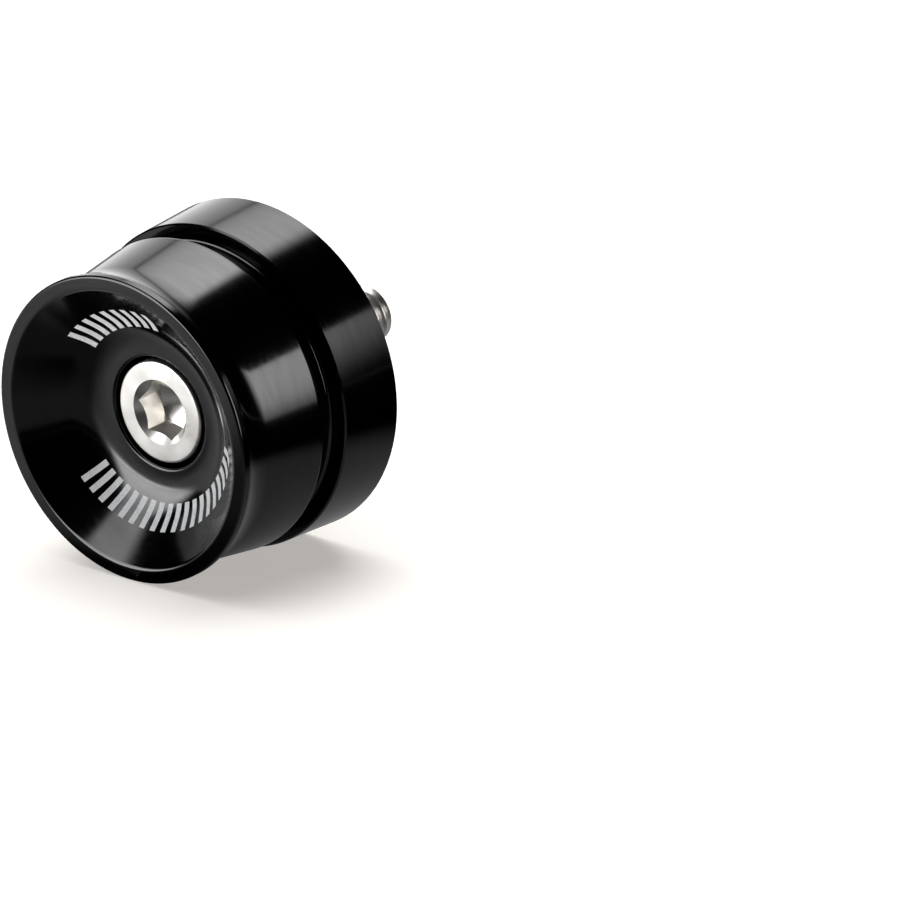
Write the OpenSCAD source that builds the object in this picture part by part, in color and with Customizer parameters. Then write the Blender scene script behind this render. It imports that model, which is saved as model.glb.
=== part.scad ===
// Bar end weight: a turned aluminium weight for the end of a handlebar, held by a socket cap screw.
// The origin is the centre of the seat face that meets the bar's end.
// +Y runs into the bar, the dished front face looks along -Y, and +Z is up.

/* [Rim and flare] */
// Diameter of the front rim
rim_d = 30; // [28.5:0.1:31]
// Length of the straight land behind the rim's front edge
rim_land = 0.8; // [0.5:0.05:1.6]
// Rounding of the rim's front outer edge
rim_edge_r = 0.25; // [0.1:0.05:0.45]
// Radius of the hollow flare between the rim and the front section
flare_r = 6; // [4:0.25:9]

/* [Front section] */
// Diameter of the front section where it ends at the groove
front_d = 31; // [30:0.1:32]
// Distance from the rim face to the groove
front_len = 11.05; // [9.5:0.05:12]
// Slope of the front section's side, in degrees
front_taper = 8.4; // [6:0.1:10]

/* [Groove] */
// Width of the groove
groove_w = 2.3; // [1.6:0.05:3]
// Depth of the groove below the front section's end
groove_depth = 1.4; // [0.8:0.05:2.2]
// Rounding of the groove's front lip
groove_lip_r = 0.55; // [0.2:0.05:0.7]
// Rounding in the corners of the groove's floor
groove_floor_r = 0.4; // [0.1:0.05:0.7]

/* [Rear section] */
// Diameter of the rear section at the seat face
rear_d = 32.7; // [31.8:0.1:34]
// Slope of the rear section's side, in degrees
rear_taper = 3.4; // [1:0.1:5]
// Chamfer on the rear section's two edges
rear_chamfer = 0.15; // [0.05:0.05:0.5]
// Length of the body from the rim face to the seat face
body_len = 20.45; // [18:0.05:24]

/* [Dish] */
// Width of the flat rim face, from the rim's edge to the rounding at the dish
face_w = 1.1; // [0.8:0.05:2]
// Slope of the dish's wall from the rim face, in degrees
dish_angle = 45; // [38:1:50]
// Depth of the dish
dish_depth = 5.35; // [4.5:0.05:6]
// Width of the flat ring between the dish's curve and the pocket's lip
floor_ring = 0.1; // [0.05:0.05:0.4]
// Rounding where the dish meets the rim face
dish_edge_r = 0.65; // [0.2:0.05:1.2]

/* [Screw seat] */
// Diameter of the pocket that the screw's head sits in
pocket_d = 11; // [10.8:0.1:11.4]
// Clearance between the screw's head and the pocket's wall
head_gap = 0.5; // [0.3:0.05:0.6]
// Rounding of the pocket's lip
pocket_lip_r = 0.3; // [0.1:0.05:0.35]
// How far the head's face lies below the dish's floor
head_sink = 0.1; // [0:0.05:0.5]
// Diameter of the through bore
bore_d = 6.6; // [6.4:0.1:7]
// Chamfer at the back of the through bore
bore_chamfer = 0.4; // [0.2:0.05:0.8]

/* [Screw] */
// Height of the screw's head
head_h = 6; // [5.6:0.1:6.4]
// Rounding of the head's top edge
head_edge_r = 0.25; // [0.1:0.05:0.5]
// Chamfer under the head
head_under_chamfer = 0.3; // [0.1:0.05:0.5]
// Length of the screw below its head
screw_len = 25; // [18:1:35]
// Outer diameter of the thread
thread_d = 6; // [5.8:0.05:6.2]
// Diameter of the plain shank inside the body
shank_d = 5.35; // [5:0.05:5.55]
// Chamfer at the screw's tip
tip_chamfer = 0.75; // [0.4:0.05:1.2]

/* [Hex socket] */
// Size of the hex socket across its flats
socket_af = 5; // [4.9:0.05:5.2]
// Depth of the socket's flat walls
socket_depth = 3.1; // [2.4:0.05:3.6]
// Diameter of the countersink at the socket's mouth
socket_mouth_d = 6.45; // [6.1:0.05:7]
// Slope of the countersink from the head's face, in degrees
socket_mouth_angle = 45; // [30:1:55]
// Slope of the socket's pointed floor from flat, in degrees
socket_floor_angle = 30; // [10:1:35]
// Turn of the socket about the screw's axis, in degrees
socket_turn = -11; // [-30:1:30]

/* [Hidden] */

// Facets of a full turn, and steps in each arc of an outline
$fn = 180;
arc_steps = 14;
// Extra reach of a cut past the face that it opens
past = 1;

// Outlines hold [radius, depth], with the depth counted from the rim face towards the bar
rim_r = rim_d / 2;
groove_back = front_len + groove_w;
groove_floor = front_d / 2 - groove_depth;
rear_front_r = rear_d / 2 - (body_len - groove_back) * tan(rear_taper);
face_inner_r = rim_r - face_w;
head_r = pocket_d / 2 - head_gap;
head_top = dish_depth + head_sink;
head_back = head_top + head_h;

function polar(a) = [cos(a), sin(a)];
function arc(centre, r, from, to) =
    [for (i = [0:arc_steps]) centre + r * polar(from + (to - from) * i / arc_steps)];

// The flare's arc starts at the back of the rim's land and runs out tangent to the front taper
taper_dir = polar(90 - front_taper);
taper_out = polar(-front_taper);
taper_end = [front_d / 2, front_len];
land_back = [rim_r, rim_land];
flare_h = (land_back - taper_end) * taper_out;
flare_foot = land_back - flare_h * taper_out;
flare_run = sqrt(flare_h * (2 * flare_r - flare_h));
flare_end = flare_foot + flare_run * taper_dir;
flare_centre = flare_end + flare_r * taper_out;
flare_from = 180 + asin((flare_centre[1] - rim_land) / flare_r);

// The lip's arc is tangent to the front taper and to the groove's front wall
lip_centre = taper_end - groove_lip_r * [tan(45 + front_taper / 2), 1];

// The dish's wall would meet the rim face at this radius without the rounding between them
dish_top_r = face_inner_r - dish_edge_r * tan(dish_angle / 2);

// The dish's arc is tangent to its sloping wall, and to its floor just outside the pocket's lip
dish_corner_r = dish_top_r - dish_depth / tan(dish_angle);
dish_flat_r = pocket_d / 2 + pocket_lip_r + floor_ring;
dish_r = (dish_corner_r - dish_flat_r) / tan(dish_angle / 2);
dish_centre = [dish_flat_r, dish_depth - dish_r];

module turned(outline) {
    translate([0, -body_len, 0])
        rotate([-90, 0, 0])
            rotate_extrude()
                polygon(outline);
}

module outside() {
    turned(concat(
        [[0, 0]],
        arc([rim_r - rim_edge_r, rim_edge_r], rim_edge_r, -90, 0),
        arc(flare_centre, flare_r, flare_from, 180 - front_taper),
        arc(lip_centre, groove_lip_r, -front_taper, 90),
        arc([groove_floor + groove_floor_r, front_len + groove_floor_r],
            groove_floor_r, 270, 180),
        arc([groove_floor + groove_floor_r, groove_back - groove_floor_r],
            groove_floor_r, 180, 90),
        [[rear_front_r - rear_chamfer, groove_back],
         [rear_front_r + rear_chamfer * tan(rear_taper), groove_back + rear_chamfer],
         [rear_d / 2 - rear_chamfer * tan(rear_taper), body_len - rear_chamfer],
         [rear_d / 2 - rear_chamfer, body_len],
         [0, body_len]]));
}

module dish_cut() {
    turned(concat(
        [[0, -past],
         [face_inner_r, -past]],
        arc([face_inner_r, dish_edge_r], dish_edge_r, 270, 270 - dish_angle),
        arc(dish_centre, dish_r, 90 - dish_angle, 90),
        arc([pocket_d / 2 + pocket_lip_r, dish_depth + pocket_lip_r],
            pocket_lip_r, 270, 180),
        [[pocket_d / 2, head_back],
         [0, head_back]]));
}

module bore_cut() {
    turned([[0, head_top], [bore_d / 2, head_top],
            [bore_d / 2, body_len - bore_chamfer],
            [bore_d / 2 + bore_chamfer + past, body_len + past],
            [0, body_len + past]]);
}

module weight_body() {
    color([0.06, 0.06, 0.065])
        difference() {
            outside();
            dish_cut();
            bore_cut();
        }
}

module screw_blank() {
    tip = head_back + screw_len;
    run_in = (thread_d - shank_d) / 2;
    turned(concat(
        [[0, head_top]],
        arc([head_r - head_edge_r, head_top + head_edge_r], head_edge_r, -90, 0),
        [[head_r, head_back - head_under_chamfer],
         [head_r - head_under_chamfer, head_back],
         [shank_d / 2, head_back],
         [shank_d / 2, body_len - run_in],
         [thread_d / 2, body_len],
         [thread_d / 2, tip - tip_chamfer],
         [thread_d / 2 - tip_chamfer, tip],
         [0, tip]]));
}

module hex_socket() {
    flat_r = socket_af / 2;
    mouth_r = socket_mouth_d / 2;
    // The countersink runs on inside the hexagon to half of its flats' distance
    mouth_end_r = flat_r / 2;
    translate([0, head_top - body_len, 0])
        rotate([-90, 0, 0])
            rotate(-socket_turn) {
                translate([0, 0, -past])
                    cylinder(r = flat_r / cos(30), h = socket_depth + past, $fn = 6);
                translate([0, 0, socket_depth])
                    cylinder(r1 = flat_r, r2 = 0, h = flat_r * tan(socket_floor_angle));
                translate([0, 0, -past])
                    cylinder(r1 = mouth_r + past / tan(socket_mouth_angle), r2 = mouth_end_r,
                             h = past + (mouth_r - mouth_end_r) * tan(socket_mouth_angle));
            }
}

module cap_screw() {
    color([0.78, 0.77, 0.75])
        difference() {
            screw_blank();
            hex_socket();
        }
}

weight_body();
cap_screw();
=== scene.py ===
import math

import bmesh
import bpy
from mathutils import Matrix, Vector


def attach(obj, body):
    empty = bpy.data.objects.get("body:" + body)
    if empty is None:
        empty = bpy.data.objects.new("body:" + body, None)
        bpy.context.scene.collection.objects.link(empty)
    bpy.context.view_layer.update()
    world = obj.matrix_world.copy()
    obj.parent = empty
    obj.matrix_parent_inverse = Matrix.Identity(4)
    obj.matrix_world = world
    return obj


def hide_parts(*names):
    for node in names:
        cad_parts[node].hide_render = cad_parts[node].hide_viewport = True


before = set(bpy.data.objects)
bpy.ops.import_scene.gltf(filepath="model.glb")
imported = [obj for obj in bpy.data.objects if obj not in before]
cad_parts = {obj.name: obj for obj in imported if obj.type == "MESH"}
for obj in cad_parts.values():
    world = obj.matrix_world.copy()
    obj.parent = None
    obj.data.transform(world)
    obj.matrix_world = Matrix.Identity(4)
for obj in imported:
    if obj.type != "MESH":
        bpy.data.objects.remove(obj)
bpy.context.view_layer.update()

print("frame:", ", ".join(sorted(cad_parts)))

mm = 0.001
bodyLength = 20.45    # rim face to seat face, mm
weld = 2e-7           # points closer than this are one, in metres
sliver = 1e-7         # edges this short and faces this thin are taken out, in metres


def toLinear(hexText):
    parts = [int(hexText[i:i + 2], 16) / 255 for i in (1, 3, 5)]
    return [p / 12.92 if p <= 0.04045 else ((p + 0.055) / 1.055) ** 2.4 for p in parts] + [1]


def addNode(tree, kind, inputs=None, **settings):
    # an input takes a value, a socket, or a node, which stands for its first output
    node = tree.nodes.new(kind)
    for name, value in settings.items():
        setattr(node, name, value)
    for key, value in (inputs or {}).items():
        if isinstance(value, bpy.types.Node):
            value = value.outputs[0]
        if isinstance(value, bpy.types.NodeSocket):
            tree.links.new(value, node.inputs[key])
        else:
            node.inputs[key].default_value = value
    return node


def newTree(name, sockets):
    tree = bpy.data.node_groups.new(name, "GeometryNodeTree")
    for socketName, kind in sockets:
        tree.interface.new_socket(name=socketName, in_out="INPUT", socket_type="NodeSocket" + kind)
    tree.interface.new_socket(name="Geometry", in_out="OUTPUT", socket_type="NodeSocketGeometry")
    return tree, addNode(tree, "NodeGroupInput").outputs, addNode(tree, "NodeGroupOutput").inputs


def finishTree(tree, given, result, shape):
    # closes the seams, smooths all but the sharp edges, and gives the material
    shape = addNode(tree, "GeometryNodeMergeByDistance", {"Geometry": shape, "Distance": weld})
    shape = addNode(tree, "GeometryNodeSetShadeSmooth", {0: shape, "Shade Smooth": True},
                    domain="FACE")
    edge = addNode(tree, "GeometryNodeInputMeshEdgeAngle").outputs["Unsigned Angle"]
    sharp = addNode(tree, "FunctionNodeCompare", {0: edge, 1: given["Sharp Angle"]},
                    data_type="FLOAT", operation="GREATER_THAN")
    shape = addNode(tree, "GeometryNodeSetShadeSmooth", {0: shape, 1: sharp, 2: False}, domain="EDGE")
    shape = addNode(tree, "GeometryNodeRealizeInstances", {0: shape})
    shape = addNode(tree, "GeometryNodeSetMaterial", {"Geometry": shape, "Material": given["Finish"]})
    tree.links.new(shape.outputs[0], result[0])


def runTree(name, tree, mesh, values):
    # the tree's inputs go in by identifier before the object is first evaluated
    piece = bpy.data.objects.new(name, mesh)
    bpy.context.scene.collection.objects.link(piece)
    modifier = piece.modifiers.new("build", "NODES")
    modifier.node_group = tree
    for item in tree.interface.items_tree:
        if item.in_out == "INPUT" and item.name in values:
            modifier[item.identifier] = values[item.name]
    evaluated = piece.evaluated_get(bpy.context.evaluated_depsgraph_get())
    plain = bpy.data.meshes.new_from_object(evaluated)
    piece.modifiers.clear()
    piece.data = plain
    shell = bmesh.new()
    shell.from_mesh(plain)
    bmesh.ops.remove_doubles(shell, verts=shell.verts, dist=weld)
    bmesh.ops.dissolve_degenerate(shell, edges=shell.edges, dist=sliver)
    bmesh.ops.holes_fill(shell, edges=[e for e in shell.edges if e.is_boundary])
    bmesh.ops.recalc_face_normals(shell, faces=shell.faces)
    openEdges = sum(1 for e in shell.edges if len(e.link_faces) != 2)
    shell.to_mesh(plain)
    shell.free()
    plain.calc_loop_triangles()
    print(name, "has", len(plain.loop_triangles), "triangles,", openEdges, "open edges")
    return piece


# An outline point is [radius, depth, hex share, countersink rise, knurl share], in mm,
# with the depth counted from the rim face towards the bar.
def point(radius, depth, hexShare=0.0, rise=0.0, knurl=0.0):
    return [radius, depth, hexShare, rise, knurl]


def arc(centre, radius, start, end, steps):
    turns = [math.radians(start + (end - start) * i / steps) for i in range(steps + 1)]
    return [point(centre[0] + radius * math.cos(t), centre[1] + radius * math.sin(t)) for t in turns]


def joinRuns(runs, hold=0.03):
    # a point close to both ends of each straight stretch keeps it flat under smooth shading
    outline = []
    for run in runs:
        if outline:
            a, b = outline[-1], run[0]
            gap = math.hypot(b[0] - a[0], b[1] - a[1])
            if gap > 4 * hold:
                for share in (hold / gap, 1 - hold / gap):
                    outline.append([p + (q - p) * share for p, q in zip(a, b)])
        outline += run
    return outline


def outlineMesh(name, outline):
    mesh = bpy.data.meshes.new(name)
    places = [(p[0] * mm, (p[1] - bodyLength) * mm, 0) for p in outline]
    mesh.from_pydata(places, [(i, i + 1) for i in range(len(places) - 1)], [])
    for column, attributeName in ((2, "hexShare"), (3, "rise"), (4, "knurl")):
        attribute = mesh.attributes.new(attributeName, "FLOAT", "POINT")
        attribute.data.foreach_set("value", [p[column] for p in outline])
    return mesh


def turnedTree():
    # turns an outline about Y; hexagon, countersink and knurl follow the outline's attributes
    tree, given, result = newTree("turnedShape", [
        ("Outline", "Geometry"), ("Steps", "Int"), ("Hex Turn", "Float"), ("Teeth", "Int"),
        ("Tooth Depth", "Float"), ("Sharp Angle", "Float"), ("Finish", "Material")])
    rings = addNode(tree, "GeometryNodeAttributeDomainSize", {"Geometry": given["Outline"]},
                    component="MESH").outputs["Point Count"]
    across = addNode(tree, "FunctionNodeIntegerMath", {0: given["Steps"], 1: 1}, operation="ADD")
    grid = addNode(tree, "GeometryNodeMeshGrid",
                   {"Size X": 1.0, "Size Y": 1.0, "Vertices X": rings, "Vertices Y": across})
    index = addNode(tree, "GeometryNodeInputIndex")
    ring = addNode(tree, "FunctionNodeIntegerMath", {0: index, 1: across}, operation="DIVIDE_FLOOR")
    step = addNode(tree, "FunctionNodeIntegerMath", {0: index, 1: across}, operation="MODULO")
    turn = addNode(tree, "ShaderNodeMath", {0: step, 1: given["Steps"]}, operation="DIVIDE")
    angle = addNode(tree, "ShaderNodeMath", {0: turn, 1: math.tau}, operation="MULTIPLY")

    # what the outline holds at this ring: its place and its three shares
    point = addNode(tree, "GeometryNodeSampleIndex", {
        "Geometry": given["Outline"], "Value": addNode(tree, "GeometryNodeInputPosition"),
        "Index": ring}, data_type="FLOAT_VECTOR", domain="POINT")
    place = addNode(tree, "ShaderNodeSeparateXYZ", {0: point}).outputs
    held = {}
    for name in ("hexShare", "rise", "knurl"):
        share = addNode(tree, "GeometryNodeInputNamedAttribute", {"Name": name}, data_type="FLOAT")
        held[name] = addNode(tree, "GeometryNodeSampleIndex", {
            "Geometry": given["Outline"], "Value": share, "Index": ring},
            data_type="FLOAT", domain="POINT")

    # a hexagon's radius is its flat's distance over the cosine to the nearest flat
    sixth = math.pi / 3
    past = addNode(tree, "ShaderNodeMath", {0: angle, 1: given["Hex Turn"]}, operation="SUBTRACT")
    past = addNode(tree, "ShaderNodeMath", {0: past, 1: sixth}, operation="FLOORED_MODULO")
    past = addNode(tree, "ShaderNodeMath", {0: past, 1: sixth / 2}, operation="SUBTRACT")
    toFlat = addNode(tree, "ShaderNodeMath", {0: past}, operation="COSINE")
    extra = addNode(tree, "ShaderNodeMath", {0: place[0], 1: toFlat}, operation="DIVIDE")
    extra = addNode(tree, "ShaderNodeMath", {0: extra, 1: place[0]}, operation="SUBTRACT")
    tooth = addNode(tree, "ShaderNodeMath", {0: turn, 1: given["Teeth"]}, operation="MULTIPLY")
    tooth = addNode(tree, "ShaderNodeMath", {0: tooth, 1: 0.5}, operation="PINGPONG")
    cut = addNode(tree, "ShaderNodeMath", {0: tooth, 1: 2.0}, operation="MULTIPLY")
    cut = addNode(tree, "ShaderNodeMath", {0: cut, 1: given["Tooth Depth"]}, operation="MULTIPLY")
    cut = addNode(tree, "ShaderNodeMath", {0: cut, 1: held["knurl"]}, operation="MULTIPLY")
    radius = addNode(tree, "ShaderNodeMath", {0: extra, 1: held["hexShare"], 2: place[0]},
                     operation="MULTIPLY_ADD")
    radius = addNode(tree, "ShaderNodeMath", {0: radius, 1: cut}, operation="SUBTRACT")
    risen = addNode(tree, "ShaderNodeMath", {0: extra, 1: held["rise"]}, operation="MULTIPLY")
    along = addNode(tree, "ShaderNodeMath", {0: place[1], 1: risen}, operation="SUBTRACT")
    cosine = addNode(tree, "ShaderNodeMath", {0: angle}, operation="COSINE")
    sine = addNode(tree, "ShaderNodeMath", {0: angle}, operation="SINE")
    x = addNode(tree, "ShaderNodeMath", {0: radius, 1: cosine}, operation="MULTIPLY")
    z = addNode(tree, "ShaderNodeMath", {0: radius, 1: sine}, operation="MULTIPLY")
    spot = addNode(tree, "ShaderNodeCombineXYZ", {0: x, 1: along, 2: z})
    shape = addNode(tree, "GeometryNodeSetPosition", {"Geometry": grid, "Position": spot})
    finishTree(tree, given, result, shape)
    return tree


turned = turnedTree()


def principled(name):
    material = bpy.data.materials.new(name)
    material.use_nodes = True
    tree = material.node_tree
    tree.nodes.clear()
    shader = addNode(tree, "ShaderNodeBsdfPrincipled")
    addNode(tree, "ShaderNodeOutputMaterial", {"Surface": shader})
    return material, tree, shader.inputs


noiseRange = {"From Min": 0.3, "From Max": 0.7}    # noise hardly leaves these values


def noiseScale(spacing):
    # a cell of noise holds a rise and a fall, so it is two spacings wide; spacing in mm
    return 0.5 / (spacing * mm)


def latheMarks(tree, pitch, wander, seed):
    # grey value of fine rings round Y: it changes along the side and along the radius,
    # and only slowly round the turn. pitch is the ring spacing in mm, wander how much the
    # rings change round the turn, and seed keeps two sets of rings apart.
    faceStretch = 1.7    # rings on the faces lie this much closer than on the sides
    place = addNode(tree, "ShaderNodeTexCoord").outputs["Object"]
    axes = addNode(tree, "ShaderNodeSeparateXYZ", {0: place}).outputs
    flat = addNode(tree, "ShaderNodeCombineXYZ", {0: axes[0], 1: axes[2]})
    radius = addNode(tree, "ShaderNodeVectorMath", {0: flat}, operation="LENGTH").outputs["Value"]
    around = addNode(tree, "ShaderNodeVectorMath", {0: flat}, operation="NORMALIZE")
    around = addNode(tree, "ShaderNodeVectorMath", {0: around, 1: (wander, wander, 0)},
                     operation="MULTIPLY")
    around = addNode(tree, "ShaderNodeSeparateXYZ", {0: around}).outputs
    run = addNode(tree, "ShaderNodeMath", {0: radius, 1: faceStretch, 2: axes[1]},
                  operation="MULTIPLY_ADD")
    run = addNode(tree, "ShaderNodeMath", {0: run, 1: noiseScale(pitch)}, operation="MULTIPLY")
    spot = addNode(tree, "ShaderNodeCombineXYZ", {0: run, 1: around[0], 2: around[1]})
    spot = addNode(tree, "ShaderNodeVectorMath", {0: spot, 1: (seed, seed * 1.3, 0)},
                   operation="ADD")
    return addNode(tree, "ShaderNodeTexNoise", {"Vector": spot, "Scale": 1.0, "Detail": 2.0,
                                                "Roughness": 0.6})


def anodisedAluminium(values):
    # turned aluminium, dyed black and sealed: a dark mirror with soft edges to its
    # reflections, and the lathe's rings showing only where a light is reflected
    material, tree, shader = principled("blackAnodisedAluminium")
    rings = latheMarks(tree, values["ringPitch"], values["ringWander"], values["ringSeed"])
    fine = latheMarks(tree, values["finePitch"], values["fineWander"], values["fineSeed"])
    share = addNode(tree, "ShaderNodeMapRange", {"Value": rings, **noiseRange})
    tint = addNode(tree, "ShaderNodeMix", {0: share, 6: toLinear(values["dark"]),
                                           7: toLinear(values["light"])}, data_type="RGBA")
    rough = addNode(tree, "ShaderNodeMapRange", {
        "Value": fine, **noiseRange, "To Min": values["smooth"], "To Max": values["rough"]})
    both = addNode(tree, "ShaderNodeMath", {0: rings, 1: fine}, operation="ADD")
    bump = addNode(tree, "ShaderNodeBump", {"Height": both, "Strength": 1.0,
                                            "Distance": values["ringDepth"] * mm})
    tree.links.new(tint.outputs[2], shader["Base Color"])
    tree.links.new(rough.outputs[0], shader["Roughness"])
    tree.links.new(bump.outputs[0], shader["Normal"])
    shader["Metallic"].default_value = 1.0
    return material


def stainlessSteel(values):
    # cold formed stainless screw: bright and slightly warm, satin from tumbling,
    # with a faint grain and small dull patches
    material, tree, shader = principled("tumbledStainlessSteel")
    place = addNode(tree, "ShaderNodeTexCoord").outputs["Object"]
    grain = addNode(tree, "ShaderNodeTexNoise", {
        "Vector": place, "Scale": noiseScale(values["grain"]), "Detail": 3.0})
    cloud = addNode(tree, "ShaderNodeTexNoise", {
        "Vector": place, "Scale": noiseScale(values["patch"]), "Detail": 2.0})
    share = addNode(tree, "ShaderNodeMapRange", {"Value": cloud, **noiseRange})
    tint = addNode(tree, "ShaderNodeMix", {0: share, 6: toLinear(values["dark"]),
                                           7: toLinear(values["light"])}, data_type="RGBA")
    rough = addNode(tree, "ShaderNodeMapRange", {
        "Value": cloud, **noiseRange, "To Min": values["smooth"], "To Max": values["rough"]})
    bump = addNode(tree, "ShaderNodeBump", {"Height": grain, "Strength": 1.0,
                                            "Distance": values["grainDepth"] * mm})
    tree.links.new(tint.outputs[2], shader["Base Color"])
    tree.links.new(rough.outputs[0], shader["Roughness"])
    tree.links.new(bump.outputs[0], shader["Normal"])
    shader["Metallic"].default_value = 1.0
    return material


def etchedAluminium(values):
    # laser marking burns the dye out of the black layer: pale, dull and finely pitted
    material, tree, shader = principled("laserEtchedAluminium")
    place = addNode(tree, "ShaderNodeTexCoord").outputs["Object"]
    pits = addNode(tree, "ShaderNodeTexNoise", {
        "Vector": place, "Scale": noiseScale(values["grain"]), "Detail": 2.0})
    share = addNode(tree, "ShaderNodeMapRange", {"Value": pits, **noiseRange})
    tint = addNode(tree, "ShaderNodeMix", {0: share, 6: toLinear(values["dark"]),
                                           7: toLinear(values["light"])}, data_type="RGBA")
    bump = addNode(tree, "ShaderNodeBump", {"Height": pits, "Strength": 1.0,
                                            "Distance": values["grainDepth"] * mm})
    tree.links.new(tint.outputs[2], shader["Base Color"])
    tree.links.new(bump.outputs[0], shader["Normal"])
    shader["Roughness"].default_value = values["rough"]
    return material


weight = {
    "rimRadius": 15.0, "rimLand": 0.8, "rimEdge": 0.25, "flareRadius": 6.0,
    "frontRadius": 15.5, "frontLength": 11.05, "frontTaper": 8.4,
    "grooveWidth": 2.3, "grooveDepth": 1.4, "grooveLip": 0.55, "grooveFloor": 0.4,
    "rearRadius": 16.35, "rearTaper": 3.4, "rearChamfer": 0.15,
    "faceWidth": 1.1, "dishEdge": 0.65, "dishAngle": 45.0, "dishDepth": 5.35, "floorRing": 0.1,
    "pocketRadius": 5.5, "pocketLip": 0.3, "pocketDepth": 11.45,
    "boreRadius": 3.3, "boreChamfer": 0.4,
    "steps": 288, "edgeSteps": 10, "flareSteps": 30, "lipSteps": 12, "cornerSteps": 8,
    "dishSteps": 20, "sharpAngle": 25.0,
}
blackFinish = {
    "dark": "#343434", "light": "#393939", "smooth": 0.10, "rough": 0.14,
    "ringPitch": 0.45, "ringWander": 3.0, "ringSeed": 3.1,
    "finePitch": 0.12, "fineWander": 6.0, "fineSeed": 8.7, "ringDepth": 0.0008,
}


def dishArc(w):
    # radius and depth of the centre, and radius, of the arc from the dish's wall to its floor
    tilt = math.radians(w["dishAngle"])
    dishTop = w["rimRadius"] - w["faceWidth"] - w["dishEdge"] * math.tan(tilt / 2)
    flat = w["pocketRadius"] + w["pocketLip"] + w["floorRing"]
    radius = (dishTop - w["dishDepth"] / math.tan(tilt) - flat) / math.tan(tilt / 2)
    return flat, w["dishDepth"] - radius, radius


def weightOutline(w):
    taper = math.radians(w["frontTaper"])
    run, out = (math.sin(taper), math.cos(taper)), (math.cos(taper), -math.sin(taper))
    end = (w["frontRadius"], w["frontLength"])
    land = (w["rimRadius"], w["rimLand"])
    high = (land[0] - end[0]) * out[0] + (land[1] - end[1]) * out[1]
    long = math.sqrt(high * (2 * w["flareRadius"] - high))
    meet = [land[i] - high * out[i] + long * run[i] for i in (0, 1)]
    flareCentre = [meet[i] + w["flareRadius"] * out[i] for i in (0, 1)]
    flareStart = 180 + math.degrees(math.asin((flareCentre[1] - w["rimLand"]) / w["flareRadius"]))
    lip = w["grooveLip"]
    lipCentre = [end[0] - lip * math.tan(math.radians(45 + w["frontTaper"] / 2)), end[1] - lip]
    back = w["frontLength"] + w["grooveWidth"]
    floor = w["frontRadius"] - w["grooveDepth"]
    corner = w["grooveFloor"]
    slope = math.tan(math.radians(w["rearTaper"]))
    rearFront = w["rearRadius"] - (bodyLength - back) * slope
    chamfer = w["rearChamfer"]
    faceInner = w["rimRadius"] - w["faceWidth"]
    *dishCentre, dishRadius = dishArc(w)
    edge = w["rimEdge"]
    bore, boreEnd = w["boreRadius"], w["boreChamfer"]
    return joinRuns([
        [point(faceInner, 0)],
        arc((w["rimRadius"] - edge, edge), edge, -90, 0, w["edgeSteps"]),
        arc(flareCentre, w["flareRadius"], flareStart, 180 - w["frontTaper"], w["flareSteps"]),
        arc(lipCentre, lip, -w["frontTaper"], 90, w["lipSteps"]),
        arc((floor + corner, w["frontLength"] + corner), corner, 270, 180, w["cornerSteps"]),
        arc((floor + corner, back - corner), corner, 180, 90, w["cornerSteps"]),
        [point(rearFront - chamfer, back)],
        [point(rearFront + chamfer * slope, back + chamfer)],
        [point(w["rearRadius"] - chamfer * slope, bodyLength - chamfer)],
        [point(w["rearRadius"] - chamfer, bodyLength)],
        [point(bore + boreEnd, bodyLength)],
        [point(bore, bodyLength - boreEnd)],
        [point(bore, w["pocketDepth"])],
        [point(w["pocketRadius"], w["pocketDepth"])],
        arc((w["pocketRadius"] + w["pocketLip"], w["dishDepth"] + w["pocketLip"]),
            w["pocketLip"], 180, 270, w["cornerSteps"]),
        arc(dishCentre, dishRadius, 90, 90 - w["dishAngle"], w["dishSteps"]),
        arc((faceInner, w["dishEdge"]), w["dishEdge"], 270 - w["dishAngle"], 270, w["lipSteps"]),
    ])


black = anodisedAluminium(blackFinish)
weightBody = runTree("weightBody", turned, outlineMesh("weightOutline", weightOutline(weight)), {
    "Steps": weight["steps"], "Hex Turn": 0.0, "Teeth": 1, "Tooth Depth": 0.0,
    "Sharp Angle": math.radians(weight["sharpAngle"]), "Finish": black})


screw = {
    "headRadius": 5.0, "headTop": 5.45, "headHeight": 6.0, "headEdge": 0.25, "underChamfer": 0.3,
    "length": 25.0, "threadRadius": 3.0, "pitch": 1.0, "threadDepth": 0.6134, "tipChamfer": 0.75,
    "socketFlat": 2.5, "socketDepth": 3.1, "mouthRadius": 3.225, "floorAngle": 30.0,
    "socketTurn": -11.0, "teeth": 60, "toothDepth": 0.13,
    "knurlStart": 0.75, "knurlRamp": 0.35, "knurlEnd": 0.7,
    "steps": 360, "edgeSteps": 8, "sharpAngle": 28.0,
    "threadSteps": 72, "spareTurns": 2, "threadSharp": 40.0,
}
steelFinish = {
    "dark": "#dedbd7", "light": "#efedea", "smooth": 0.27, "rough": 0.35,
    "grain": 0.25, "patch": 1.2, "grainDepth": 0.002,
}


def headOutline(s):
    top, flat, mouth = s["headTop"], s["socketFlat"], s["mouthRadius"]
    back = top + s["headHeight"]
    floorDrop = flat * math.tan(math.radians(s["floorAngle"]))
    edge, radius = s["headEdge"], s["headRadius"]
    return joinRuns([
        [point(0, top + s["socketDepth"] + floorDrop)],
        [point(flat, top + s["socketDepth"])],
        [point(flat, top + s["socketDepth"], hexShare=1)],
        [point(flat, top + mouth - flat, hexShare=1, rise=1)],
        [point(mouth, top)],
        arc((radius - edge, top + edge), edge, -90, 0, s["edgeSteps"]),
        [point(radius, top + s["knurlStart"])],
        [point(radius, top + s["knurlStart"] + s["knurlRamp"], knurl=1)],
        [point(radius, back - s["knurlEnd"], knurl=1)],
        [point(radius, back - s["underChamfer"])],
        [point(radius - s["underChamfer"], back)],
        [point(0, back)],
    ])


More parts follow.
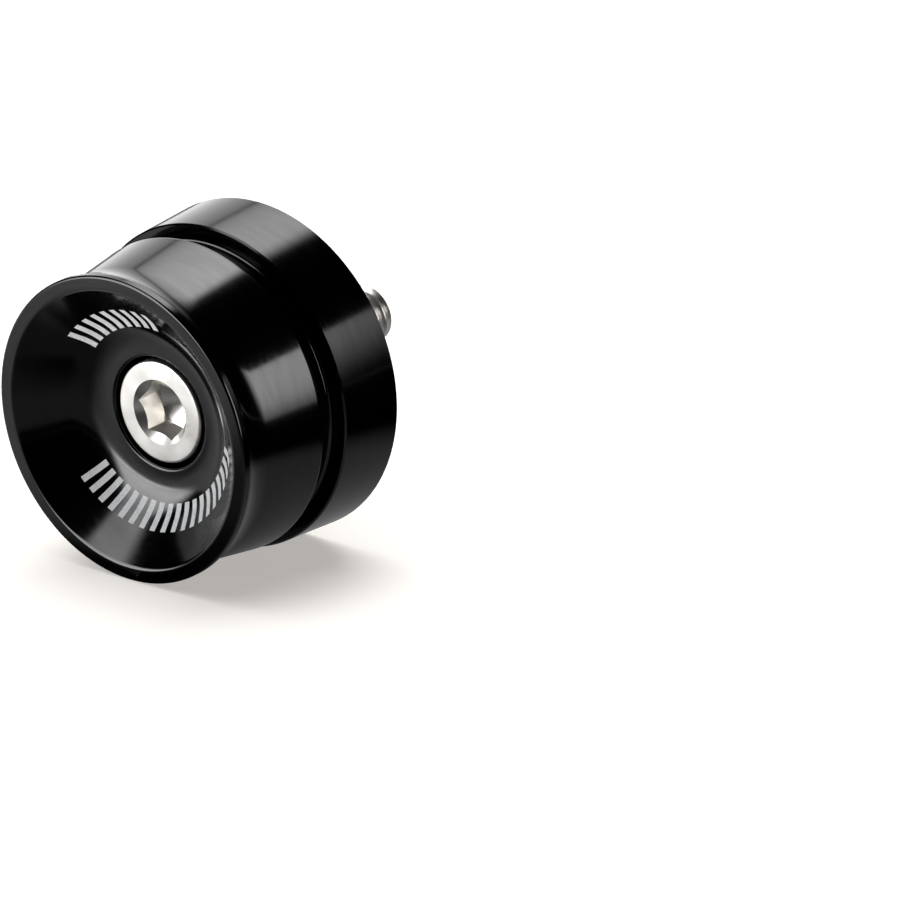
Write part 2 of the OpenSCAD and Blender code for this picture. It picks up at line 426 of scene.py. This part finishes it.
def threadTree():
    # a rolled right-hand thread: the outline of one pitch follows a helix, held in by a cone
    # at both ends
    tree, given, result = newTree("rolledThread", [
        ("Outline", "Geometry"), ("Steps", "Int"), ("Turns", "Int"), ("Pitch", "Float"),
        ("Root Radius", "Float"), ("Depth", "Float"), ("Start", "Float"), ("End", "Float"),
        ("End Radius", "Float"), ("Sharp Angle", "Float"), ("Finish", "Material")])
    perPitch = addNode(tree, "GeometryNodeAttributeDomainSize", {"Geometry": given["Outline"]},
                       component="MESH").outputs["Point Count"]
    rows = addNode(tree, "FunctionNodeIntegerMath", {0: perPitch, 1: given["Turns"]},
                   operation="MULTIPLY")
    rows = addNode(tree, "FunctionNodeIntegerMath", {0: rows, 1: 1}, operation="ADD")
    across = addNode(tree, "FunctionNodeIntegerMath", {0: given["Steps"], 1: 1}, operation="ADD")
    grid = addNode(tree, "GeometryNodeMeshGrid",
                   {"Size X": 1.0, "Size Y": 1.0, "Vertices X": rows, "Vertices Y": across})
    index = addNode(tree, "GeometryNodeInputIndex")
    row = addNode(tree, "FunctionNodeIntegerMath", {0: index, 1: across}, operation="DIVIDE_FLOOR")
    step = addNode(tree, "FunctionNodeIntegerMath", {0: index, 1: across}, operation="MODULO")
    turn = addNode(tree, "ShaderNodeMath", {0: step, 1: given["Steps"]}, operation="DIVIDE")
    lap = addNode(tree, "FunctionNodeIntegerMath", {0: row, 1: perPitch}, operation="DIVIDE_FLOOR")
    part = addNode(tree, "FunctionNodeIntegerMath", {0: row, 1: perPitch}, operation="MODULO")
    point = addNode(tree, "GeometryNodeSampleIndex", {
        "Geometry": given["Outline"], "Value": addNode(tree, "GeometryNodeInputPosition"),
        "Index": part}, data_type="FLOAT_VECTOR", domain="POINT")
    place = addNode(tree, "ShaderNodeSeparateXYZ", {0: point}).outputs

    # rows climb with the turn, starting one pitch early so that the first turn is whole
    lift = addNode(tree, "ShaderNodeMath", {0: lap, 1: place[1]}, operation="ADD")
    lift = addNode(tree, "ShaderNodeMath", {0: lift, 1: turn}, operation="ADD")
    lift = addNode(tree, "ShaderNodeMath", {0: lift, 1: 1.0}, operation="SUBTRACT")
    along = addNode(tree, "ShaderNodeMath", {0: lift, 1: given["Pitch"], 2: given["Start"]},
                    operation="MULTIPLY_ADD")
    along = addNode(tree, "ShaderNodeMath", {0: along, 1: given["Start"]}, operation="MAXIMUM")
    along = addNode(tree, "ShaderNodeMath", {0: along, 1: given["End"]}, operation="MINIMUM")
    radius = addNode(tree, "ShaderNodeMath", {0: place[0], 1: given["Depth"], 2: given["Root Radius"]},
                     operation="MULTIPLY_ADD")
    toTip = addNode(tree, "ShaderNodeMath", {0: given["End"], 1: along}, operation="SUBTRACT")
    toHead = addNode(tree, "ShaderNodeMath", {0: along, 1: given["Start"]}, operation="SUBTRACT")
    cone = addNode(tree, "ShaderNodeMath", {0: toTip, 1: toHead}, operation="MINIMUM")
    cone = addNode(tree, "ShaderNodeMath", {0: given["End Radius"], 1: cone}, operation="ADD")
    radius = addNode(tree, "ShaderNodeMath", {0: radius, 1: cone}, operation="MINIMUM")

    # the first and the last row shrink to a point and close the ends
    lastRow = addNode(tree, "ShaderNodeMath", {0: rows, 1: 1.5}, operation="SUBTRACT")
    pastFirst = addNode(tree, "ShaderNodeMath", {0: row, 1: 0.5}, operation="GREATER_THAN")
    beforeLast = addNode(tree, "ShaderNodeMath", {0: row, 1: lastRow}, operation="LESS_THAN")
    inside = addNode(tree, "ShaderNodeMath", {0: pastFirst, 1: beforeLast}, operation="MULTIPLY")
    radius = addNode(tree, "ShaderNodeMath", {0: radius, 1: inside}, operation="MULTIPLY")
    angle = addNode(tree, "ShaderNodeMath", {0: turn, 1: -math.tau}, operation="MULTIPLY")
    cosine = addNode(tree, "ShaderNodeMath", {0: angle}, operation="COSINE")
    sine = addNode(tree, "ShaderNodeMath", {0: angle}, operation="SINE")
    x = addNode(tree, "ShaderNodeMath", {0: radius, 1: cosine}, operation="MULTIPLY")
    z = addNode(tree, "ShaderNodeMath", {0: radius, 1: sine}, operation="MULTIPLY")
    spot = addNode(tree, "ShaderNodeCombineXYZ", {0: x, 1: along, 2: z})
    shape = addNode(tree, "GeometryNodeSetPosition", {"Geometry": grid, "Position": spot})
    finishTree(tree, given, result, shape)
    return tree


def pitchOutline():
    # one pitch of the thread: share of the pitch, share of the depth, rounded at crest and root
    steps = [(0, 0), (0.05, 0.015), (0.11, 0.09), (0.40, 0.895), (0.43, 0.975), (0.47, 1),
             (0.53, 1), (0.57, 0.975), (0.60, 0.895), (0.89, 0.09), (0.95, 0.015)]
    mesh = bpy.data.meshes.new("pitchOutline")
    mesh.from_pydata([(depth, share, 0) for share, depth in steps],
                     [(i, i + 1) for i in range(len(steps) - 1)], [])
    return mesh


steel = stainlessSteel(steelFinish)
capScrew = runTree("capScrew", turned, outlineMesh("headOutline", headOutline(screw)), {
    "Steps": screw["steps"], "Hex Turn": math.radians(screw["socketTurn"]), "Teeth": screw["teeth"],
    "Tooth Depth": screw["toothDepth"] * mm, "Sharp Angle": math.radians(screw["sharpAngle"]),
    "Finish": steel})
headBack = screw["headTop"] + screw["headHeight"] - bodyLength
rootRadius = screw["threadRadius"] - screw["threadDepth"]
threadPart = runTree("threadPart", threadTree(), pitchOutline(), {
    "Steps": screw["threadSteps"],
    "Turns": int(screw["length"] / screw["pitch"]) + screw["spareTurns"],
    "Pitch": screw["pitch"] * mm, "Root Radius": rootRadius * mm, "Depth": screw["threadDepth"] * mm,
    "Start": headBack * mm, "End": (headBack + screw["length"]) * mm,
    "End Radius": (screw["threadRadius"] - screw["tipChamfer"]) * mm,
    "Sharp Angle": math.radians(screw["threadSharp"]), "Finish": steel})
joined = bmesh.new()
joined.from_mesh(capScrew.data)
joined.from_mesh(threadPart.data)
joined.to_mesh(capScrew.data)
joined.free()
bpy.data.objects.remove(threadPart)


marks = {
    "count": 39, "start": 84.0, "pitch": 7.0, "bareFrom": 142.5, "bareTo": 218.5,
    "width": 0.62, "inner": 8.65, "outer": 10.85, "proud": 0.015, "sunk": 0.03,
}
etchFinish = {
    "dark": "#d6dadf", "light": "#eff2f6", "rough": 0.6, "grain": 0.08, "grainDepth": 0.004,
}


def markTree():
    # plain bars round the dish, bent to its wall: a sloping cone outside, a round fillet inside
    tree, given, result = newTree("dialMarks", [
        ("Count", "Int"), ("Start", "Float"), ("Pitch", "Float"), ("Bare From", "Float"),
        ("Bare To", "Float"), ("Width", "Float"), ("Inner", "Float"), ("Outer", "Float"),
        ("Proud", "Float"), ("Sunk", "Float"), ("Arc Radius", "Float"), ("Arc Centre", "Float"),
        ("Arc Along", "Float"), ("Wall Slope", "Float"), ("Finish", "Material")])

    # one point for each bar, less those in the bare stretch
    index = addNode(tree, "GeometryNodeInputIndex")
    angle = addNode(tree, "ShaderNodeMath", {0: index, 1: given["Pitch"], 2: given["Start"]},
                    operation="MULTIPLY_ADD")
    line = addNode(tree, "GeometryNodeMeshLine", {"Count": given["Count"], "Offset": (0, 0, 0)})
    held = addNode(tree, "GeometryNodeStoreNamedAttribute",
                   {"Geometry": line, "Name": "markAngle", "Value": angle},
                   data_type="FLOAT", domain="POINT")
    past = addNode(tree, "ShaderNodeMath", {0: angle, 1: given["Bare From"]}, operation="GREATER_THAN")
    before = addNode(tree, "ShaderNodeMath", {0: angle, 1: given["Bare To"]}, operation="LESS_THAN")
    bare = addNode(tree, "ShaderNodeMath", {0: past, 1: before}, operation="MULTIPLY")
    held = addNode(tree, "GeometryNodeDeleteGeometry", {"Geometry": held, "Selection": bare},
                   domain="POINT")
    bar = addNode(tree, "GeometryNodeMeshCube", {
        "Size": (1, 1, 1), "Vertices X": 3, "Vertices Y": 12, "Vertices Z": 2})
    bar = addNode(tree, "GeometryNodeStoreNamedAttribute", {
        "Geometry": bar, "Name": "barPlace", "Value": addNode(tree, "GeometryNodeInputPosition")},
        data_type="FLOAT_VECTOR", domain="POINT")
    shape = addNode(tree, "GeometryNodeInstanceOnPoints", {"Points": held, "Instance": bar})
    shape = addNode(tree, "GeometryNodeRealizeInstances", {0: shape})

    # where each corner of a bar lies in the flat, across the radius and along it
    turn = addNode(tree, "GeometryNodeInputNamedAttribute", {"Name": "markAngle"}, data_type="FLOAT")
    bit = addNode(tree, "GeometryNodeInputNamedAttribute", {"Name": "barPlace"},
                  data_type="FLOAT_VECTOR")
    bit = addNode(tree, "ShaderNodeSeparateXYZ", {0: bit}).outputs
    side = addNode(tree, "ShaderNodeMath", {0: bit[0], 1: given["Width"]}, operation="MULTIPLY")
    run = addNode(tree, "ShaderNodeMath", {0: given["Outer"], 1: given["Inner"]}, operation="SUBTRACT")
    reach = addNode(tree, "ShaderNodeMath", {0: bit[1], 1: 0.5}, operation="ADD")
    reach = addNode(tree, "ShaderNodeMath", {0: reach, 1: run, 2: given["Inner"]},
                    operation="MULTIPLY_ADD")
    flat = addNode(tree, "ShaderNodeCombineXYZ", {0: side, 1: reach})
    radius = addNode(tree, "ShaderNodeVectorMath", {0: flat}, operation="LENGTH").outputs["Value"]
    aside = addNode(tree, "ShaderNodeMath", {0: side, 1: reach}, operation="DIVIDE")
    aside = addNode(tree, "ShaderNodeMath", {0: aside}, operation="ARCTANGENT")
    around = addNode(tree, "ShaderNodeMath", {0: turn, 1: aside}, operation="ADD")

    # psi is the wall's angle on the fillet, and stops at the cone's slope
    slope, arc = given["Wall Slope"], given["Arc Radius"]
    psi = addNode(tree, "ShaderNodeMath", {0: radius, 1: given["Arc Centre"]}, operation="SUBTRACT")
    psi = addNode(tree, "ShaderNodeMath", {0: psi, 1: arc}, operation="DIVIDE")
    psi = addNode(tree, "ShaderNodeMath", {0: psi}, operation="ARCCOSINE")
    onCone = addNode(tree, "ShaderNodeMath", {0: psi, 1: slope}, operation="LESS_THAN")
    psi = addNode(tree, "ShaderNodeMath", {0: psi, 1: slope}, operation="MAXIMUM")
    coneStart = addNode(tree, "ShaderNodeMath", {0: slope}, operation="COSINE")
    coneStart = addNode(tree, "ShaderNodeMath", {0: arc, 1: coneStart, 2: given["Arc Centre"]},
                        operation="MULTIPLY_ADD")
    coneRun = addNode(tree, "ShaderNodeMath", {0: radius, 1: coneStart}, operation="SUBTRACT")
    coneRun = addNode(tree, "ShaderNodeMath", {0: onCone, 1: coneRun}, operation="MULTIPLY")
    steep = addNode(tree, "ShaderNodeMath", {0: slope}, operation="TANGENT")
    coneRise = addNode(tree, "ShaderNodeMath", {0: coneRun, 1: steep}, operation="DIVIDE")
    cosine = addNode(tree, "ShaderNodeMath", {0: psi}, operation="COSINE")
    sine = addNode(tree, "ShaderNodeMath", {0: psi}, operation="SINE")
    along = addNode(tree, "ShaderNodeMath", {0: arc, 1: sine, 2: given["Arc Along"]},
                    operation="MULTIPLY_ADD")
    along = addNode(tree, "ShaderNodeMath", {0: along, 1: coneRise}, operation="SUBTRACT")

    # the bar stands proud of the wall by one depth and is sunk in it by another
    thick = addNode(tree, "ShaderNodeMath", {0: given["Proud"], 1: given["Sunk"]}, operation="ADD")
    lift = addNode(tree, "ShaderNodeMath", {0: bit[2], 1: 0.5}, operation="ADD")
    lift = addNode(tree, "ShaderNodeMath", {0: lift, 1: thick}, operation="MULTIPLY")
    lift = addNode(tree, "ShaderNodeMath", {0: lift, 1: given["Sunk"]}, operation="SUBTRACT")
    inward = addNode(tree, "ShaderNodeMath", {0: lift, 1: cosine}, operation="MULTIPLY")
    forward = addNode(tree, "ShaderNodeMath", {0: lift, 1: sine}, operation="MULTIPLY")
    radius = addNode(tree, "ShaderNodeMath", {0: radius, 1: inward}, operation="SUBTRACT")
    along = addNode(tree, "ShaderNodeMath", {0: along, 1: forward}, operation="SUBTRACT")
    cosine = addNode(tree, "ShaderNodeMath", {0: around}, operation="COSINE")
    sine = addNode(tree, "ShaderNodeMath", {0: around}, operation="SINE")
    x = addNode(tree, "ShaderNodeMath", {0: radius, 1: cosine}, operation="MULTIPLY")
    z = addNode(tree, "ShaderNodeMath", {0: radius, 1: sine}, operation="MULTIPLY")
    spot = addNode(tree, "ShaderNodeCombineXYZ", {0: x, 1: along, 2: z})
    shape = addNode(tree, "GeometryNodeSetPosition", {"Geometry": shape, "Position": spot})
    shape = addNode(tree, "GeometryNodeSetMaterial", {"Geometry": shape, "Material": given["Finish"]})
    tree.links.new(shape.outputs[0], result[0])
    return tree


arcCentre, arcDepth, arcRadius = dishArc(weight)
etched = etchedAluminium(etchFinish)
dialMarks = runTree("dialMarks", markTree(), bpy.data.meshes.new("markSeed"), {
    "Count": marks["count"], "Start": math.radians(marks["start"]),
    "Pitch": math.radians(marks["pitch"]),
    "Bare From": math.radians(marks["bareFrom"]), "Bare To": math.radians(marks["bareTo"]),
    "Width": marks["width"] * mm, "Inner": marks["inner"] * mm, "Outer": marks["outer"] * mm,
    "Proud": marks["proud"] * mm, "Sunk": marks["sunk"] * mm, "Arc Radius": arcRadius * mm,
    "Arc Centre": arcCentre * mm, "Arc Along": (arcDepth - bodyLength) * mm,
    "Wall Slope": math.radians(90 - weight["dishAngle"]), "Finish": etched})


for piece, slot in ((weightBody, "anodised_aluminium"), (capScrew, "stainless_steel"),
                    (dialMarks, "anodised_aluminium")):
    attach(piece, "root")
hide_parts("weight_body")
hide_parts("cap_screw")
for nodeName, finish in (("weight_body", black), ("cap_screw", steel)):
    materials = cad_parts[nodeName].data.materials
    materials.clear()
    materials.append(finish)
print("pieces ride on root")


camera = {
    "azimuth": 40.122, "elevation": 21.819, "roll": -2.665, "distance": 706.99,
    "lens": 300.0, "sensor": 36.0, "near": 0.05, "far": 20.0, "aimRight": 17.51, "aimDown": 8.18,
}


def placeCamera(c):
    az, el, roll = (math.radians(c[k]) for k in ("azimuth", "elevation", "roll"))
    back = Vector((math.sin(az) * math.cos(el), -math.cos(az) * math.cos(el), math.sin(el)))
    level = Vector((math.cos(az), math.sin(az), 0))
    upright = back.cross(level)
    right = math.cos(roll) * level + math.sin(roll) * upright
    up = back.cross(right)
    data = bpy.data.cameras.new("photoCamera")
    data.lens, data.sensor_width = c["lens"], c["sensor"]
    data.clip_start, data.clip_end = c["near"], c["far"]
    viewer = bpy.data.objects.new("photoCamera", data)
    bpy.context.scene.collection.objects.link(viewer)
    viewer.rotation_mode = "QUATERNION"
    viewer.rotation_quaternion = Matrix((right, up, back)).transposed().to_quaternion()
    viewer.location = (c["aimRight"] * right - c["aimDown"] * up + c["distance"] * back) * mm
    bpy.context.scene.camera = viewer
    return back


towardsCamera = placeCamera(camera)


# The weight lies on the bottoms of its rim and of its rear edge, so the floor leans a little.
lean = math.atan2(weight["rearRadius"] - weight["rimRadius"], bodyLength)
floorUp = Vector((0, math.sin(lean), math.cos(lean)))
ahead = (towardsCamera - towardsCamera.dot(floorUp) * floorUp).normalized()
rightward = floorUp.cross(ahead)
stageValues = {
    "floorSize": 1400.0, "floor": "#d8d6d2", "floorRough": 0.9, "warm": "#fffaf5", "glow": 0.45,
    "world": 0.004, "sky": "#f4f4f4",
    "sheetRadius": 600.0, "sheetHole": 0.1, "sheetHeight": 0.1, "sheetCells": (90, 100),
    "panelCells": (32, 32), "lampDistance": 500.0,
}
middle = Vector((0, -bodyLength / 2 * mm, 0))
foot = middle - floorUp * (middle.dot(floorUp) + weight["rearRadius"] * mm * floorUp.z)


def direction(azimuth, elevation):
    # azimuth 0 is from the weight to the camera and grows to the camera's right, in degrees
    az, el = math.radians(azimuth), math.radians(elevation)
    return math.cos(el) * (math.cos(az) * ahead + math.sin(az) * rightward) + math.sin(el) * floorUp


def stageGrid(name, material, across, along, place, glow=None):
    # a sheet of across by along cells; place and glow are worked out from the two shares
    mesh = bpy.data.meshes.new(name)
    shares = [(i / across, j / along) for i in range(across + 1) for j in range(along + 1)]
    row = along + 1
    mesh.from_pydata([place(*s) for s in shares], [], [
        (i * row + j, (i + 1) * row + j, (i + 1) * row + j + 1, i * row + j + 1)
        for i in range(across) for j in range(along)])
    if glow:
        attribute = mesh.attributes.new("glow", "FLOAT", "POINT")
        attribute.data.foreach_set("value", [glow(*s) for s in shares])
    mesh.materials.append(material)
    sheet = bpy.data.objects.new(name, mesh)
    bpy.context.scene.collection.objects.link(sheet)
    return sheet


def stageMaterial(name, colour="#000000", roughness=1.0, glow=None, shine="#ffffff"):
    # dull card; with no glow of its own it shines by the mesh's glow attribute
    material, tree, shader = principled(name)
    shader["Base Color"].default_value = toLinear(colour)
    shader["Roughness"].default_value = roughness
    shader["Emission Color"].default_value = toLinear(shine)
    shader["Specular IOR Level"].default_value = 0.0
    if glow is None:
        held = addNode(tree, "ShaderNodeAttribute", attribute_name="glow")
        tree.links.new(held.outputs["Fac"], shader["Emission Strength"])
    else:
        shader["Emission Strength"].default_value = glow
    return material


def smooth(value):
    value = min(max(value, 0.0), 1.0)
    return value * value * (3 - 2 * value)


# The zones below are painted light and shade: the floor sheet glows with them in place of a lit and
# shaded floor.
# Azimuths in degrees, distances from under the rim in mm. A pair is where a zone starts or
# stops, and how wide its soft edge is.
sheetZones = {
    "backStart": (120, 50), "rightStart": (20, 40), "rightStop": (150, 30),
    "leftStart": (38, 20), "leftStop": (175, 40),
    "reach": 100, "reachRight": -56, "reachBack": 400, "reachEdge": 0.35,
    "contactShadowStart": (2, 24), "dim": 0.2, "dimRight": 0.12, "dimBack": -0.06, "dimBackStop": (50, 30),
    "litDark": 0.12, "lit": 0.8, "litStart": (5, 26), "litLean": 0.35, "litLeanFrom": -105,
    "rimShade": 0.9, "rimShadeStop": (18, 8), "rimShadeStart": (108, 12),
    "far": 12, "farStart": (60, 120), "farLeft": (-100, 22), "farRight": (48, 10),
}


def rises(value, start, width):
    return smooth((value - start) / width)


def falls(value, stop, width):
    return smooth((stop - value) / width)


def sheetGlow(azimuth, away):
    # how bright the floor looks in the black parts, all painted as glow: a painted contact shadow,
    # painted dimness in front and to the right and then black, and a painted pool of light behind and
    # to the left, where the left softbox would light it
    s = sheetZones
    back = rises(abs(azimuth), *s["backStart"])
    right = rises(azimuth, *s["rightStart"]) * falls(azimuth, *s["rightStop"])
    left = rises(-azimuth, *s["leftStart"]) * falls(-azimuth, *s["leftStop"])
    reach = s["reach"] + s["reachRight"] * right + s["reachBack"] * back
    level = s["dim"] + s["dimRight"] * right + s["dimBack"] * back * falls(away, *s["dimBackStop"])
    level *= rises(away, *s["contactShadowStart"])
    level *= smooth((reach - away) / (s["reachEdge"] * reach) + 0.5)
    lean = s["litLean"] * (azimuth - s["litLeanFrom"])
    lit = s["litDark"] + s["lit"] * rises(away - lean, *s["litStart"])
    lit *= 1 - s["rimShade"] * falls(away, *s["rimShadeStop"]) * rises(-azimuth, *s["rimShadeStart"])
    far = rises(away, *s["farStart"]) * rises(azimuth, *s["farLeft"]) * rises(-azimuth, *s["farRight"])
    return level + (lit + s["far"] * far - level) * left


def makeFloor(v):
    # the camera and the lamps see white card; the reflections see a dim sheet on it instead, whose
    # glow is the floor's painted light, painted shade and painted contact shadow
    half = v["floorSize"] / 2 * mm
    card = stageMaterial("whiteCard", v["floor"], v["floorRough"], v["glow"], v["warm"])
    stageGrid("floorCard", card, 1, 1,
              lambda a, b: foot + half * ((2 * a - 1) * ahead + (2 * b - 1) * rightward))
    rim = Vector((0, -bodyLength * mm, 0))
    centre = rim - floorUp * ((rim - foot).dot(floorUp) - v["sheetHeight"] * mm)
    radius, hole = v["sheetRadius"], v["sheetHole"]
    # this sheet is no lamp: its glow is painted light and shade of the floor, seen only in reflections
    paintedFloorSheet = stageGrid(
        "paintedFloorSheet", stageMaterial("paintedFloorGlow"), *v["sheetCells"],
        lambda a, b: centre + direction(360 * a - 180, 0) * (hole + b * b * radius) * mm,
        lambda a, b: sheetGlow(360 * a - 180, b * b * radius))
    paintedFloorSheet.visible_camera = paintedFloorSheet.visible_diffuse = paintedFloorSheet.visible_shadow = False


def glowPanel(name, azimuths, elevations, fades, glow, distance, slants=(0, 0)):
    # a curved softbox that only reflections see: degrees from left to right and bottom to top,
    # fades at the left, right, bottom and top edge, glow at the bottom and at the top, mm away;
    # slants are how far in the left and right edges lie at the bottom
    high = elevations[1] - elevations[0]

    def sides(b):
        return azimuths[0] + slants[0] * (1 - b), azimuths[1] - slants[1] * (1 - b)

    def place(a, b):
        left, right = sides(b)
        return middle + direction(left + a * (right - left), elevations[0] + b * high) * distance * mm

    def shine(a, b):
        wide = sides(b)[1] - sides(b)[0]
        level = glow[0] + (glow[1] - glow[0]) * b
        for run, fade in zip((a * wide, (1 - a) * wide, b * high, (1 - b) * high), fades):
            level *= smooth(run / fade)
        return level

    panel = stageGrid(name, stageMaterial(name + "Cloth"), *stageValues["panelCells"], place, shine)
    panel.visible_camera = panel.visible_diffuse = panel.visible_shadow = False


def addLamp(name, azimuth, elevation, size, radiance):
    # a square softbox for the floor and its shadows, left out of the reflections
    way = direction(azimuth, elevation)
    data = bpy.data.lights.new(name, "AREA")
    data.size = size * mm
    data.energy = 4 * data.size ** 2 * radiance
    lamp = bpy.data.objects.new(name, data)
    bpy.context.scene.collection.objects.link(lamp)
    lamp.location = middle + way * stageValues["lampDistance"] * mm
    side = floorUp.cross(way).normalized()
    lamp.rotation_mode = "QUATERNION"
    lamp.rotation_quaternion = Matrix((side, way.cross(side), way)).transposed().to_quaternion()
    lamp.visible_camera = lamp.visible_glossy = False


panels = {
    "rearPanel": {"azimuths": (127, 200), "elevations": (31, 80), "fades": (16, 8, 3, 5),
                  "glow": (1.2, 11.5), "distance": 300, "slants": (23, 0)},
    "backPanel": {"azimuths": (150, 205), "elevations": (-20, 32), "fades": (24, 5, 2, 2),
                  "glow": (1.9, 1.25), "distance": 320},
    "rightPanel": {"azimuths": (50, 100), "elevations": (-14, 28.5), "fades": (6, 20, 21, 1.5),
                   "glow": (6.2, 6.0), "distance": 300, "slants": (0, 19)},
    "leftPanel": {"azimuths": (-93, -47.5), "elevations": (-16, 56), "fades": (12, 8, 20, 6),
                  "glow": (11.5, 2.6), "distance": 300, "slants": (-10, 0)},
}
lamps = {
    "rearSoftbox": {"azimuth": 185, "elevation": 70, "size": 600, "radiance": 3.3},
    "leftSoftbox": {"azimuth": -75, "elevation": 48, "size": 350, "radiance": 1.3},
}
makeFloor(stageValues)
for panelName, values in panels.items():
    glowPanel(panelName, **values)
for lampName, values in lamps.items():
    addLamp(lampName, **values)

world = bpy.data.worlds.new("darkStudio")
world.use_nodes = True
world.node_tree.nodes.clear()
seen = addNode(world.node_tree, "ShaderNodeLightPath").outputs["Is Camera Ray"]
dim = addNode(world.node_tree, "ShaderNodeBackground", {0: (1, 1, 1, 1), 1: stageValues["world"]})
pale = addNode(world.node_tree, "ShaderNodeBackground", {0: toLinear(stageValues["sky"]), 1: 1.0})
sky = addNode(world.node_tree, "ShaderNodeMixShader", {0: seen, 1: dim, 2: pale})
addNode(world.node_tree, "ShaderNodeOutputWorld", {"Surface": sky})
bpy.context.scene.world = world
bpy.context.scene.view_settings.view_transform = "Standard"
print("floor, lights and camera stand")
